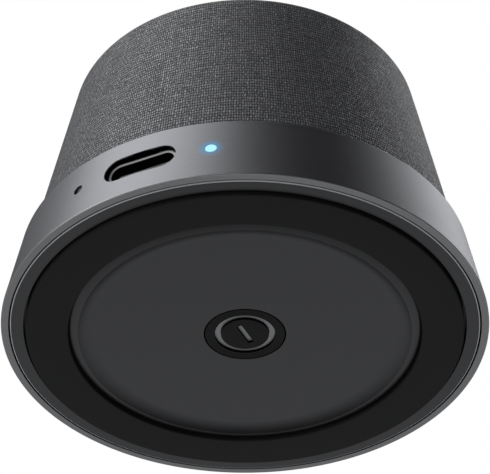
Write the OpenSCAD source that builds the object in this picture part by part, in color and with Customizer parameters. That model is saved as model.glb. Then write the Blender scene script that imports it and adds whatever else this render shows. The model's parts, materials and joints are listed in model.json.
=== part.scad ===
// Portable bluetooth speaker: a fabric-covered cone on a wide metal base band.
// Millimetres. +Z is up, the USB port faces -Y, and z = 0 is the underside of the rubber foot.

/* [Body] */
// Radius of the metal band at its bottom edge
base_r = 30.5; // [30:0.1:31.5]
// Height of the metal band
band_h = 10; // [9.8:0.1:10.6]
// Lean of the band's outer wall from vertical, in degrees
band_lean = 9.65; // [9:0.05:10]
// Whole height, from the rubber foot to the top of the fabric
total_h = 38.2; // [38:0.1:40]
// Lean of the fabric wall from vertical, in degrees
fabric_lean = 9.9; // [9:0.1:10.5]
// Step inwards from the band's top edge to the fabric
fabric_step = 0.97; // [0.8:0.01:1.1]
// Rounding of the fabric's top edge
top_round = 1.9; // [1.6:0.1:2.4]
// Thickness of the fabric
fabric_t = 0.6; // [0.4:0.1:0.7]
// Thickness of the chassis wall under the fabric
chassis_t = 1.5; // [1.2:0.1:1.6]

/* [Underside] */
// Width of the band's flat bottom lip
lip_w = 1; // [0.8:0.1:1.2]
// How far the rubber foot stands below the band
foot_stand = 0.45; // [0.3:0.05:0.6]
// Outer radius of the rubber foot
foot_r = 27.4; // [26.8:0.1:27.6]
// Outer radius of the centre panel
panel_r = 22; // [21:0.1:22.4]
// Depth of the centre panel's dished floor, measured from the foot's face
dish_depth = 0.9; // [0.7:0.05:0.95]

/* [Power button] */
// Radius of the power button
button_r = 5; // [4.5:0.05:5.3]
// Travel of the power button when it is pressed
button_travel = 0.3; // [0.1:0.05:0.35]
// Outer radius of the ring in its icon
icon_r = 3.81; // [3.4:0.01:4]
// Width of the icon's ring
icon_w = 0.8; // [0.5:0.01:0.9]
// Width of the icon's bar
icon_bar_w = 0.7; // [0.5:0.05:0.9]
// Length of the icon's bar
icon_bar_l = 3.6; // [3:0.1:4.4]
// Depth of the icon's grooves in the button's face
icon_depth = 0.65; // [0.5:0.05:0.7]

/* [Openings in the band] */
// Height of the port, light and microphone above the band's bottom edge
port_h = 5.1; // [5:0.05:5.2]
// Width of the USB slot
slot_w = 9.33; // [9.2:0.01:9.6]
// Height of the USB slot
slot_h = 3.75; // [3.6:0.01:3.8]
// Angle from the port to the status light, in degrees
light_angle = 17.2; // [16.5:0.1:20]
// Radius of the hole for the status light
light_r = 0.7; // [0.6:0.05:0.85]
// Angle from the port to the microphone hole, in degrees
mic_angle = -17.1; // [-20:0.1:-16.5]
// Radius of the microphone hole
mic_r = 0.65; // [0.4:0.05:0.7]

/* [Driver] */
// Outer radius of the driver's flange
driver_r = 20.6; // [20.3:0.1:20.8]
// Radius of the cone at its outer edge
cone_r = 14; // [13.6:0.1:14.1]
// Excursion of the cone each way
cone_travel = 1.2; // [0.5:0.1:1.4]
// Width of the battery cell
battery_w = 28; // [24:0.5:29]
// Length of the battery cell
battery_l = 33; // [28:0.5:34]
// Thickness of the battery cell
battery_t = 4.8; // [4:0.1:4.9]

/* [Hidden] */
$fn = 96;
gap = 0.05;                                  // clearance between pieces of one assembly
band_z0 = foot_stand;
band_z1 = band_z0 + band_h;
band_top_r = base_r - band_h * tan(band_lean);
fabric_r0 = band_top_r - fabric_step;        // fabric radius where it meets the band
seat_r = fabric_r0 + 0.12;                   // rebate in the band's top that takes the fabric
seat_z = 8.3;
gasket_t = 0.4;
chassis_z0 = seat_z + gasket_t;
chassis_r0 = fabric_r0 - fabric_t - gap;
chassis_z1 = 34.9;
band_in_r = 27.3;                            // inner wall of the band above its ledge
flange_in_r = 25.9;                          // inner edge of the flange under the chassis
ledge_z = 3.1;                               // ledge in the band that the bottom cover meets
lip_in_r = base_r - lip_w;
cover_r = lip_in_r - 0.15;
cover_floor = 1.6;                           // recess floor that takes the foot and the panel
recess_r = foot_r + 0.25;
port_z = band_z0 + port_h;
port_a = -90;
pcb_r = 25.4;
smd_r = 24.2;                                // where the status light and microphone sit
pcb_z0 = 7.2;
pcb_z1 = 8.2;
screw_circle_r = 24.3;                       // bottom cover's screws, hidden under the foot
screw_angles = [90, 210, 330];
pcb_screw_r = 19;
pcb_screw_angles = [45, 135, 225, 315];
tray_screw_x = 20.4;
tray_z0 = 10.8;
tray_z1 = 11.6;
battery_z0 = tray_z1 + 0.1;
battery_z1 = battery_z0 + battery_t;
usb_w = 8.94;
usb_h = 3.2;
usb_y0 = -28.5;                              // mouth of the receptacle, set back in the slot
usb_y1 = -21.1;
usb_leg_y = [-24.6, -22.2];
bezel_y0 = -28.4;
bezel_y1 = -26.9;
bezel_w = 10.8;
bezel_h = 4.5;
switch_w = 6;
switch_z0 = 3.7;
plunger_z0 = 3;
plunger_z1 = 4.3;
flange_z0 = 32.9;                            // driver's flange, on its gasket
flange_z1 = 33.7;
driver_seat_z = 32.4;
driver_screw_r = 19.1;
terminal_a = 25;                             // direction of the driver's terminals and its leads
spider_z = 26.4;
yoke_z0 = 17.6;
yoke_z1 = 22.6;
yoke_r = 11;
yoke_in_r = 8.3;
coil_in_r = 7;
former_t = 0.12;
coil_t = 0.62;
hem_z = chassis_z0 + 0.1;                    // lower edge of the fabric, inside the band
white_part = "ivory";

// Points of an arc about [x, y], from angle a0 to angle a1 in n steps.
function arc(x, y, r, a0, a1, n) =
    [for (i = [0:n]) let (a = a0 + (a1 - a0) * i / n) [x + r * cos(a), y + r * sin(a)]];

// Outer radius of the band at height z.
function band_r(z) = base_r - (z - band_z0) * tan(band_lean);

// Radius of the fabric's cone, moved inwards by d, at height z.
function wall_r(z, d = 0) = fabric_r0 - d / cos(fabric_lean) - (z - band_z1) * tan(fabric_lean);

// Outline of the cone's wall and rounded top edge, moved inwards by d, from the height z0 up.
function shoulder(z0, d) =
    let (rho = top_round - d, zc = total_h - top_round, rc = wall_r(zc, d) - rho / cos(fabric_lean))
    concat([[wall_r(z0, d), z0]], arc(rc, zc, rho, fabric_lean, 90, 10));

module ring(r0, r1, z0, z1) {
    rotate_extrude() translate([r0, z0]) square([r1 - r0, z1 - z0]);
}

module disc(r, z0, z1) {
    translate([0, 0, z0]) cylinder(r = r, h = z1 - z0);
}

// Places its children at radius r and angle a, with local +X pointing outwards.
module polar(r, a) {
    rotate([0, 0, a]) translate([r, 0, 0]) children();
}

// A block from its low corner to its high corner.
module block(low, high) {
    translate(low) cube(high - low);
}

// A slot outline with round ends, w wide and h high.
module stadium(w, h) {
    square([w - h, h], center = true);
    for (x = [-1, 1]) translate([x * (w - h) / 2, 0]) circle(d = h);
}

// A bar of that outline along Y, from y0 to y1, centred at the height of the port.
module stadium_bar(w, h, y0, y1) {
    translate([0, y1, port_z]) rotate([90, 0, 0]) linear_extrude(y1 - y0) stadium(w, h);
}

// A round bar that points outwards at angle a, at the height of the port.
module radial_bar(r, a, from, to) {
    rotate([0, 0, a]) translate([from, 0, port_z]) rotate([0, 90, 0]) cylinder(r = r, h = to - from);
}

// Pan-head screw with a cross recess: the head's underside is at the origin, the shank goes down.
module screw(head_r, head_h, shank_r, length) {
    difference() {
        union() {
            cylinder(r = head_r, h = head_h);
            translate([0, 0, -length]) cylinder(r = shank_r, h = length + head_h / 2);
        }
        for (a = [0, 90]) rotate([0, 0, a])
            translate([-head_r * 0.6, -head_r * 0.12, head_h * 0.45])
                cube([head_r * 1.2, head_r * 0.24, head_h]);
    }
}

// Woven sleeve: the side wall, the rounded edge and the top, in one piece.
module fabric_sleeve() {
    inner = shoulder(band_z1, fabric_t);
    color("dimgray") rotate_extrude() polygon(concat(
        [[fabric_r0 - fabric_t, hem_z], [fabric_r0, hem_z]],
        shoulder(band_z1, 0),
        [[0, total_h], [0, total_h - fabric_t]],
        [for (i = [len(inner) - 1:-1:0]) inner[i]]
    ));
}

// Perforated plastic cap under the fabric's top.
module grille_cap() {
    cap_d = fabric_t + gap;
    cap_t = 1.2;
    cap_z = total_h - cap_d - cap_t;
    lip_r = wall_r(chassis_z1, cap_d + chassis_t) - gap;
    lip_t = 0.7;
    hole_rings = [[0, 1], [3, 6], [6, 12], [9, 18], [12, 24], [15, 30]];
    outer = shoulder(chassis_z1 + gap, cap_d);
    color("darkslategray") difference() {
        rotate_extrude() polygon(concat(
            outer,
            [[0, total_h - cap_d], [0, cap_z], [lip_r - lip_t - 0.8, cap_z],
             [lip_r - lip_t, cap_z - 0.8], [lip_r - lip_t, chassis_z1 - 0.9],
             [lip_r, chassis_z1 - 0.9], [lip_r, chassis_z1 + gap]]
        ));
        for (h = hole_rings) for (i = [0:h[1] - 1])
            polar(h[0], i * 360 / h[1]) disc(0.9, total_h - 3, total_h + 1);
    }
}

// Moulded inner housing: it carries the driver, the tray and the fabric.
module chassis() {
    outer_d = fabric_t + gap;
    inner_d = outer_d + chassis_t;
    ledge_t = 1.2;
    z_mid = driver_seat_z - ledge_t;
    difference() {
        union() {
            color("darkslategray") rotate_extrude() polygon([
                [chassis_r0, chassis_z0], [chassis_r0, band_z1],
                [wall_r(chassis_z1, outer_d), chassis_z1], [wall_r(chassis_z1, inner_d), chassis_z1],
                [wall_r(driver_seat_z, inner_d), driver_seat_z], [17.6, driver_seat_z],
                [17.6, z_mid], [wall_r(z_mid, inner_d), z_mid],
                [wall_r(band_z1, inner_d), band_z1], [chassis_r0 - chassis_t, chassis_z0]
            ]);
            color("darkslategray") intersection() {
                union() {
                    for (a = screw_angles) polar(screw_circle_r, a) disc(2.3, chassis_z0, 16);
                    for (a = [0, 180]) {
                        polar(tray_screw_x, a) disc(2.1, tray_z1 + gap, 18);
                        polar(tray_screw_x, a) block([1, -0.8, tray_z1 + gap], [5, 0.8, 18]);
                    }
                    for (a = pcb_screw_angles) polar(driver_screw_r, a) {
                        disc(1.8, 28, z_mid + 0.4);
                        block([1, -0.8, 28], [3.2, 0.8, z_mid + 0.4]);
                    }
                }
                rotate_extrude() polygon([
                    [0, chassis_z0], [chassis_r0 - 0.5, chassis_z0], [chassis_r0 - 0.5, band_z1],
                    [wall_r(chassis_z1, outer_d + 0.5), chassis_z1], [0, chassis_z1]
                ]);
            }
        }
        for (a = screw_angles) polar(screw_circle_r, a) disc(1.05, chassis_z0 - 1, 15);
        for (a = [0, 180]) polar(tray_screw_x, a) disc(0.9, tray_z1 - 1, 16.5);
        for (a = pcb_screw_angles) polar(driver_screw_r, a) disc(1, 28.6, driver_seat_z + 1);
    }
}

// Foam ring between the chassis and the band's seat.
module chassis_gasket() {
    color("black") difference() {
        ring(flange_in_r, chassis_r0, seat_z, chassis_z0);
        for (a = screw_angles) polar(screw_circle_r, a) disc(2.45, seat_z - 1, chassis_z0 + 1);
    }
}

// Metal band with its bottom lip, the cover's ledge and the seat for the chassis.
module base_band() {
    edge = 0.15;
    color("darkgray") difference() {
        rotate_extrude() polygon([
            [lip_in_r, band_z0], [base_r - edge, band_z0], [band_r(band_z0 + edge), band_z0 + edge],
            [band_r(band_z1 - edge), band_z1 - edge], [band_top_r - edge, band_z1],
            [seat_r, band_z1], [seat_r, seat_z], [flange_in_r, seat_z],
            [flange_in_r, seat_z - 1], [band_in_r, seat_z - 1],
            [band_in_r, ledge_z], [lip_in_r, ledge_z]
        ]);
        stadium_bar(slot_w, slot_h, -base_r - 1, -20);
        block([-bezel_w / 2 - gap, bezel_y0 - gap, port_z - bezel_h / 2 - gap],
              [bezel_w / 2 + gap, -20, port_z + bezel_h / 2 + gap]);
        radial_bar(light_r, port_a + light_angle, 20, base_r + 1);
        radial_bar(1.25, port_a + light_angle, 20, 28.2);
        radial_bar(mic_r, port_a + mic_angle, 20, base_r + 1);
        radial_bar(1.1, port_a + mic_angle, 20, 28.9);
        for (a = screw_angles) polar(screw_circle_r, a) disc(2.45, seat_z - 2, seat_z + 1);
    }
}

// Plastic bottom cover with its screw posts and the standoffs for the circuit board.
module bottom_cover() {
    edge = 0.15;
    color("black") difference() {
        union() {
            rotate_extrude() polygon([
                [0, cover_floor], [recess_r, cover_floor], [recess_r, band_z0],
                [cover_r - edge, band_z0], [cover_r, band_z0 + edge], [cover_r, ledge_z],
                [0, ledge_z]
            ]);
            for (a = screw_angles) polar(screw_circle_r, a) disc(2.3, ledge_z - 0.5, chassis_z0 - gap);
            for (a = pcb_screw_angles) polar(pcb_screw_r, a) disc(1.8, ledge_z - 0.5, pcb_z0);
        }
        disc(6.5, 0, ledge_z + 1);
        for (a = screw_angles) polar(screw_circle_r, a) {
            disc(1.1, 0, chassis_z0 + 1);
            disc(2.1, 0, cover_floor + 1.3);
        }
        for (a = pcb_screw_angles) polar(pcb_screw_r, a) disc(0.8, 4, pcb_z0 + 1);
    }
}

// Soft ring that the speaker stands on, bonded into the cover's recess.
module rubber_foot() {
    edge = 0.2;
    inner = panel_r + 0.09;
    color("black") rotate_extrude() polygon(concat(
        arc(inner + edge, edge, edge, 180, 270, 4),
        arc(foot_r - edge, edge, edge, 270, 360, 4),
        [[foot_r, cover_floor], [inner, cover_floor]]
    ));
}

// Dished plastic panel inside the foot, with a bevelled rim and the button's hole.
module centre_panel() {
    crest_r = panel_r - 1.1;
    crest_z = 0.3;
    floor_r = crest_r - 2.1;
    drop = dish_depth - crest_z;
    fillet = (pow(crest_r - floor_r, 2) + pow(drop, 2)) / (2 * drop);
    sweep = asin((crest_r - floor_r) / fillet);
    hole_r = button_r + 0.15;
    color("black") rotate_extrude() polygon(concat(
        [[hole_r, cover_floor], [hole_r, dish_depth]],
        arc(floor_r, dish_depth - fillet, fillet, 90, 90 - sweep, 6),
        [[panel_r, crest_z + 0.25], [panel_r, cover_floor]]
    ));
}

// The icon's bar, grown by that much all round, from z0 to z1.
module icon_bar(grow, z0, z1) {
    w = icon_bar_w / 2 + grow;
    l = icon_bar_l / 2 + grow;
    block([-w, -l, z0], [w, l, z1]);
}

// Round button cap with a sunken ring-and-bar icon and a flange that keeps it in.
module power_button() {
    flange_z = cover_floor + gap;
    color("black") difference() {
        union() {
            rotate_extrude() polygon([
                [0, dish_depth], [button_r - 0.12, dish_depth], [button_r, dish_depth + 0.12],
                [button_r, flange_z], [6.1, flange_z], [6.1, flange_z + 0.8], [0, flange_z + 0.8]
            ]);
            disc(1.7, flange_z, plunger_z0 - gap);
        }
        ring(icon_r - icon_w, icon_r, dish_depth - 1, dish_depth + icon_depth);
        icon_bar(0.02, dish_depth - 1, dish_depth + icon_depth);
    }
}

// Lighter inlay at the bottom of the icon's grooves.
module button_icon() {
    top = dish_depth + icon_depth;
    low = top - 0.3;
    color("silver") {
        ring(icon_r - icon_w + 0.02, icon_r - 0.02, low, top);
        icon_bar(0, low, top);
    }
}

// Housing of the tactile switch on the underside of the board.
module tact_switch_body() {
    half = switch_w / 2;
    color("dimgray") difference() {
        block([-half, -half, switch_z0], [half, half, pcb_z0]);
        disc(1.75, switch_z0 - 1, plunger_z1 + button_travel + 0.1);
    }
}

module tact_switch_plunger() {
    color(white_part) disc(1.69, plunger_z0, plunger_z1);
}

// Clear pipe that carries the status light from the board to the band.
module light_pipe() {
    a = port_a + light_angle;
    color("lightcyan") intersection() {
        union() {
            radial_bar(light_r - 0.03, a, smd_r - 0.8, base_r);
            radial_bar(1.15, a, 26.8, 28.1);
            polar(smd_r, a) disc(0.8, port_z, pcb_z0 - 0.7);
        }
        translate([0, 0, band_z0]) cylinder(r1 = base_r - 0.03, r2 = band_top_r - 0.03, h = band_h);
    }
}

module status_led() {
    polar(smd_r, port_a + light_angle) color(white_part) {
        block([-0.8, -0.6, pcb_z0 - 0.35], [0.8, 0.6, pcb_z0]);
        disc(0.5, pcb_z0 - 0.65, pcb_z0 - 0.3);
    }
}

// Black surround that holds the receptacle behind the band's slot.
module usb_bezel() {
    color("black") difference() {
        block([-bezel_w / 2, bezel_y0, port_z - bezel_h / 2],
              [bezel_w / 2, bezel_y1, port_z + bezel_h / 2]);
        stadium_bar(usb_w + 0.12, usb_h + 0.12, bezel_y0 - 1, bezel_y1 + 1);
    }
}

// Steel shell of the USB receptacle with four board legs.
module usb_shell() {
    wall = 0.3;
    color("silver") {
        difference() {
            stadium_bar(usb_w, usb_h, usb_y0, usb_y1);
            stadium_bar(usb_w - 2 * wall, usb_h - 2 * wall, usb_y0 - 1, usb_y1 + 1);
        }
        for (x = [-1, 1]) for (y = usb_leg_y)
            translate([x * 3.6 - 0.2, y, port_z + usb_h / 2 - 0.15]) cube([0.4, 0.9, 1.2]);
    }
}

// Plastic core of the receptacle: the tongue and its rear block.
module usb_tongue() {
    inner_w = usb_w - 0.7;
    inner_h = usb_h - 0.7;
    color("black") {
        block([-3.34, usb_y0 + 0.6, port_z - 0.35], [3.34, usb_y1 - 1, port_z + 0.35]);
        stadium_bar(inner_w, inner_h, usb_y1 - 1.5, usb_y1 - 0.1);
    }
}

// Contact strips on both faces of the tongue.
module usb_contacts() {
    color("gold") for (i = [-5.5:1:5.5]) for (s = [-1, 1])
        translate([i * 0.5 - 0.12, usb_y0 + 0.9, port_z + s * 0.385 - 0.03]) cube([0.24, 4.2, 0.06]);
}

// Fine mesh cup: its flange sits behind the band and its raised centre stands in the hole.
module mic_mesh() {
    color("gray") {
        radial_bar(1, port_a + mic_angle, 28.76, 28.88);
        radial_bar(mic_r - 0.03, port_a + mic_angle, 28.8, 29.28);
    }
}

// Rubber boot that leads sound from the hole to the microphone.
module mic_boot() {
    a = port_a + mic_angle;
    color("black") difference() {
        union() {
            radial_bar(1.05, a, 26, 28.74);
            rotate([0, 0, a]) block([22.2, -2, 4.3], [26.9, 2, pcb_z0 - 1.05]);
        }
        radial_bar(0.45, a, smd_r, 29);
        polar(smd_r, a) disc(0.45, port_z, pcb_z0);
    }
}

module microphone() {
    rotate([0, 0, port_a + mic_angle]) color("gold")
        block([smd_r - 1.6, -1.5, pcb_z0 - 1], [smd_r + 1, 1.5, pcb_z0 - gap]);
}

// Round circuit board, notched round the cover's screw posts.
module main_pcb() {
    color("darkgreen") difference() {
        disc(pcb_r, pcb_z0, pcb_z1);
        for (a = screw_angles) polar(screw_circle_r, a) disc(2.8, 0, 12);
        for (a = pcb_screw_angles) polar(pcb_screw_r, a) disc(0.85, 0, 12);
        for (x = [-1, 1]) for (y = usb_leg_y)
            translate([x * 3.6 - 0.3, y - 0.1, 6]) cube([0.6, 1.1, 3]);
    }
}

// Radio module: a small board with a shield can.
module bluetooth_module() {
    color("silver") {
        block([-11.5, -3, pcb_z1], [0.5, 12, pcb_z1 + 0.8]);
        block([-10.5, -2, pcb_z1 + 0.8], [-0.5, 8, pcb_z1 + 2.2]);
    }
}

module amplifier_chip() {
    color("black") block([7, -8, pcb_z1], [11, -4, pcb_z1 + 0.9]);
}

module charge_chip() {
    color("black") block([-5, -14, pcb_z1], [-2, -11, pcb_z1 + 0.8]);
}

module power_inductors() {
    color("dimgray") for (p = [[2, -14], [14, -8], [14, -2]])
        translate([p[0], p[1], pcb_z1]) cube([4, 4, 2]);
}

module capacitors() {
    color("tan") {
        for (i = [0:5]) translate([-12 + 2.2 * i, -18, pcb_z1]) cube([1.6, 0.8, 0.8]);
        for (i = [0:3]) translate([5 + 2.2 * i, 1, pcb_z1]) cube([0.8, 1.6, 0.8]);
        for (p = [[-10, -9], [-5, -8], [3.5, 9]]) translate(p) disc(2, pcb_z1, pcb_z1 + 2.2);
    }
}

// Ceramic aerial near the board's edge.
module antenna() {
    polar(22.6, 160) color("lightblue") block([-1, -3.5, pcb_z1], [1, 3.5, pcb_z1 + 1]);
}

module battery_connector() {
    color(white_part) difference() {
        block([3.6, 17.6, pcb_z1], [8.4, 20.8, pcb_z1 + 2.2]);
        block([4.2, 18.2, pcb_z1 + 0.6], [7.8, 20.2, pcb_z1 + 3]);
    }
}

module speaker_connector() {
    polar(20, terminal_a) color(white_part) difference() {
        block([-1.6, -2.4, pcb_z1], [1.6, 2.4, pcb_z1 + 2.2]);
        block([-1, -1.8, pcb_z1 + 0.6], [1, 1.8, pcb_z1 + 3]);
    }
}

// Tray that holds the cell above the board, with two screw ears.
module battery_tray() {
    x = battery_w / 2 + 1.2;
    y = battery_l / 2 + 1.2;
    color("darkslategray") difference() {
        union() {
            block([-x, -y, tray_z0], [x, y, battery_z0 + 2.4]);
            for (s = [-1, 1]) {
                translate([s * tray_screw_x, 0, tray_z0]) cylinder(r = 2.4, h = tray_z1 - tray_z0);
                translate([s * (x + tray_screw_x) / 2, 0, (tray_z0 + tray_z1) / 2])
                    cube([tray_screw_x - x + 0.4, 4, tray_z1 - tray_z0], center = true);
            }
        }
        block([-x + 1, -y + 1, tray_z1], [x - 1, y - 1, 20]);
        block([3.8, 10, tray_z1], [8.2, 30, 20]);
        for (s = [-1, 1]) translate([s * tray_screw_x, 0, 0]) disc(0.95, 5, 15);
    }
}

// Lithium pouch cell with rounded long edges and its protection strip.
module battery_cell() {
    edge = 1.2;
    w = battery_w - 2 * edge;
    color("silver") translate([0, battery_l / 2 - 2, 0]) rotate([90, 0, 0])
        linear_extrude(battery_l - 2) translate([0, battery_z0])
            polygon(concat(
                arc(w / 2, edge, edge, -90, 0, 4),
                arc(w / 2, battery_t - edge, edge, 0, 90, 4),
                arc(-w / 2, battery_t - edge, edge, 90, 180, 4),
                arc(-w / 2, edge, edge, 180, 270, 4)
            ));
    color("goldenrod") block([-w / 2, battery_l / 2 - 2, battery_z0 + 1],
                             [w / 2, battery_l / 2, battery_z0 + 3]);
}

// Foam pad between the cell and the driver's yoke.
module battery_pad() {
    color("black") block([-9, -9, battery_z1], [9, 9, yoke_z0 - gap]);
}

// Two wires from the cell down to the board.
module battery_leads() {
    wire_r = 0.5;
    bend = 1.4;
    y0 = battery_l / 2 + 0.05;
    z0 = battery_z0 + 2;
    y1 = 19.2;
    color("red") for (x = [5.3, 6.7]) translate([x, 0, 0]) {
        translate([0, y0, z0]) rotate([-90, 0, 0]) cylinder(r = wire_r, h = y1 - bend - y0);
        translate([0, y1 - bend, z0 - bend]) rotate([90, 0, 90])
            rotate_extrude(angle = 90) translate([bend, 0]) circle(r = wire_r);
        translate([0, y1, pcb_z1 + 0.7]) cylinder(r = wire_r, h = z0 - bend - pcb_z1 - 0.7);
    }
}

// Two wires from the board up to the driver's terminals.
module speaker_leads() {
    wire_r = 0.5;
    bend = 2;
    x0 = 20;
    x1 = 17.15;
    z1 = 28.9;
    color("orange") rotate([0, 0, terminal_a]) for (y = [-1, 1]) translate([0, y, 0]) {
        translate([x0, 0, pcb_z1 + 0.7]) cylinder(r = wire_r, h = z1 - bend - pcb_z1 - 0.7);
        translate([x0 - bend, 0, z1 - bend]) rotate([90, 0, 0])
            rotate_extrude(angle = 90) translate([bend, 0]) circle(r = wire_r);
        translate([x1, 0, z1]) rotate([0, 90, 0]) cylinder(r = wire_r, h = x0 - bend - x1);
    }
}

// Stamped steel frame of the driver, with four windows.
module driver_basket() {
    color("slategray") difference() {
        rotate_extrude() polygon([
            [16.6, flange_z1], [driver_r, flange_z1], [driver_r, flange_z0], [17.2, flange_z0],
            [14.8, spider_z - 0.2], [14.6, spider_z - 0.8], [12.9, spider_z - 0.8],
            [yoke_r + 0.2, yoke_z1], [yoke_in_r, yoke_z1], [yoke_in_r, yoke_z1 + 0.8],
            [yoke_r - 0.3, yoke_z1 + 0.8], [12.2, spider_z], [14, spider_z]
        ]);
        for (a = [45:90:315]) rotate([0, 0, terminal_a + a])
            block([10, -5, spider_z + 1.2], [20, 5, flange_z0 - 1.2]);
        for (a = pcb_screw_angles) polar(driver_screw_r, a) disc(1.05, flange_z0 - 1, flange_z1 + 1);
    }
}

module driver_yoke() {
    color("gray") difference() {
        disc(yoke_r, yoke_z0, yoke_z1);
        disc(yoke_in_r, yoke_z0 + 1.8, yoke_z1 + 1);
    }
}

module driver_magnet() {
    color("silver") disc(6.4, yoke_z0 + 1.8, yoke_z0 + 3.8);
}

module driver_top_plate() {
    color("gray") disc(6.6, yoke_z0 + 3.8, yoke_z1);
}

module coil_former() {
    color("peru") ring(coil_in_r, coil_in_r + former_t, yoke_z0 + 1.8 + cone_travel + 0.3, 28.3);
}

module voice_coil() {
    wound_r = coil_in_r + former_t + 0.02;
    color("orangered") ring(wound_r, wound_r + coil_t, 21, 23.2);
}

// Corrugated disc that centres the coil.
module spider() {
    r0 = coil_in_r + former_t + 0.04;
    r1 = 13.8;
    waves = 3;
    t = 0.25;
    steps = 36;
    flat = 1.3;
    function wave(r) = r > r1 - flat ? 0 : 0.35 * sin(waves * 360 * (r1 - flat - r) / (r1 - flat - r0));
    color("goldenrod") rotate_extrude() polygon(concat(
        [for (i = [0:steps]) let (r = r0 + (r1 - r0) * i / steps) [r, spider_z + gap + wave(r)]],
        [for (i = [steps:-1:0]) let (r = r0 + (r1 - r0) * i / steps) [r, spider_z + gap + t + wave(r)]]
    ));
}

// Paper cone, from the former's neck to the surround.
module driver_cone() {
    t = 0.35;
    neck_r = coil_in_r + former_t + 0.02;
    neck_z = 27.5;
    rim_z = 33.5;
    steps = 10;
    function line(i, up) = let (u = i / steps)
        [neck_r + (cone_r - neck_r) * u, neck_z + (rim_z - neck_z) * pow(u, 0.8) + up];
    color("dimgray") rotate_extrude() polygon(concat(
        [for (i = [0:steps]) line(i, 0)], [for (i = [steps:-1:0]) line(i, t)]
    ));
}

// Rubber half-roll between the cone and the driver's flange.
module surround() {
    roll = 1.2;
    t = 0.3;
    mid = 15.5;
    z = flange_z1 + gap;
    color("black") rotate_extrude() polygon(concat(
        [[cone_r + 0.05, z], [mid - roll, z]], arc(mid, z, roll, 180, 0, 12),
        [[17.6, z], [17.6, z + t]], arc(mid, z + t, roll, 0, 180, 12), [[cone_r + 0.05, z + t]]
    ));
}

// Domed cap over the coil.
module dust_cap() {
    cap_r = 8.6;
    rise = 2.4;
    t = 0.3;
    dome = (cap_r * cap_r + rise * rise) / (2 * rise);
    half = asin(cap_r / dome);
    z0 = 30;
    color("black") rotate_extrude() polygon(concat(
        arc(0, z0 + rise - dome, dome, 90 - half, 90, 10),
        arc(0, z0 + rise - dome, dome - t, 90, 90 - half, 10)
    ));
}

module driver_gasket() {
    color("black") difference() {
        ring(17.7, driver_r, driver_seat_z, flange_z0);
        for (a = pcb_screw_angles) polar(driver_screw_r, a) disc(1.15, driver_seat_z - 1, flange_z1);
    }
}

// Terminal strip on the side of the basket.
module driver_terminals() {
    rotate([0, 0, terminal_a]) {
        color("peru") block([16.3, -2.6, 27.8], [16.9, 2.6, 30]);
        color("silver") for (y = [-1, 1])
            translate([16.9, y - 0.6, 28.1]) cube([0.2, 1.2, 1.6]);
    }
}

module driver_screws() {
    color("silver") for (a = pcb_screw_angles) polar(driver_screw_r, a)
        translate([0, 0, flange_z1]) screw(1.4, 0.9, 0.92, 4.9);
}

module cover_screws() {
    color("silver") for (a = screw_angles) polar(screw_circle_r, a)
        translate([0, 0, cover_floor + 1.3]) mirror([0, 0, 1]) screw(1.9, 1.2, 1, 11.6);
}

module pcb_screws() {
    color("silver") for (a = pcb_screw_angles) polar(pcb_screw_r, a)
        translate([0, 0, pcb_z1]) screw(1.5, 0.8, 0.75, 3.8);
}

module tray_screws() {
    color("silver") for (a = [0, 180]) polar(tray_screw_x, a)
        translate([0, 0, tray_z0]) mirror([0, 0, 1]) screw(1.6, 0.9, 0.85, 5.4);
}

fabric_sleeve();
grille_cap();
chassis();
chassis_gasket();
base_band();
bottom_cover();
rubber_foot();
centre_panel();
power_button();
button_icon();
tact_switch_body();
tact_switch_plunger();
light_pipe();
status_led();
usb_bezel();
usb_shell();
usb_tongue();
usb_contacts();
mic_mesh();
mic_boot();
microphone();
main_pcb();
bluetooth_module();
amplifier_chip();
charge_chip();
power_inductors();
capacitors();
antenna();
battery_connector();
speaker_connector();
battery_tray();
battery_cell();
battery_pad();
battery_leads();
speaker_leads();
driver_basket();
driver_yoke();
driver_magnet();
driver_top_plate();
coil_former();
voice_coil();
spider();
driver_cone();
surround();
dust_cap();
driver_gasket();
driver_terminals();
driver_screws();
cover_screws();
pcb_screws();
tray_screws();
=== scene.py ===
"""Looks of the portable bluetooth speaker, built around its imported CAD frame. Metres, Z up."""

import json
import math

import bmesh
import bpy
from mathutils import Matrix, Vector


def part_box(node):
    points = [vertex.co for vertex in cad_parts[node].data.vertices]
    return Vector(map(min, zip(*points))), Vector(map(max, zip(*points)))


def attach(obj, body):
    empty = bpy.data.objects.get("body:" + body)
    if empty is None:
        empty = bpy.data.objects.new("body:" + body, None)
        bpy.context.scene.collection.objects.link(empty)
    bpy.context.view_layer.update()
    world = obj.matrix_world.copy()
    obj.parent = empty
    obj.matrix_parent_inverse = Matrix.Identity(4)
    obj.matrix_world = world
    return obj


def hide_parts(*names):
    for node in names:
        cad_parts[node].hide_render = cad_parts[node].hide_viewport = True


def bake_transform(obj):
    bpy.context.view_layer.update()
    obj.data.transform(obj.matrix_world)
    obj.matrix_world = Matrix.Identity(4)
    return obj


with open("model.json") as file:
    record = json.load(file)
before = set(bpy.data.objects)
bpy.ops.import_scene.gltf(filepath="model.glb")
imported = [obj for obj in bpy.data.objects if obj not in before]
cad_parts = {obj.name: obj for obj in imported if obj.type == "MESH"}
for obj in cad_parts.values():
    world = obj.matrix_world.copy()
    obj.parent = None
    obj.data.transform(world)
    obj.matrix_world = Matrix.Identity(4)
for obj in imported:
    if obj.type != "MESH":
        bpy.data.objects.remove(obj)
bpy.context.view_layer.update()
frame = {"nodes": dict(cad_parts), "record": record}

MM = 0.001
NODES = frame["nodes"]
HOUSING, BUTTON, CONE = "housing", "button", "cone_assembly"

# ---------------------------------------------------------------- sizes

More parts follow.
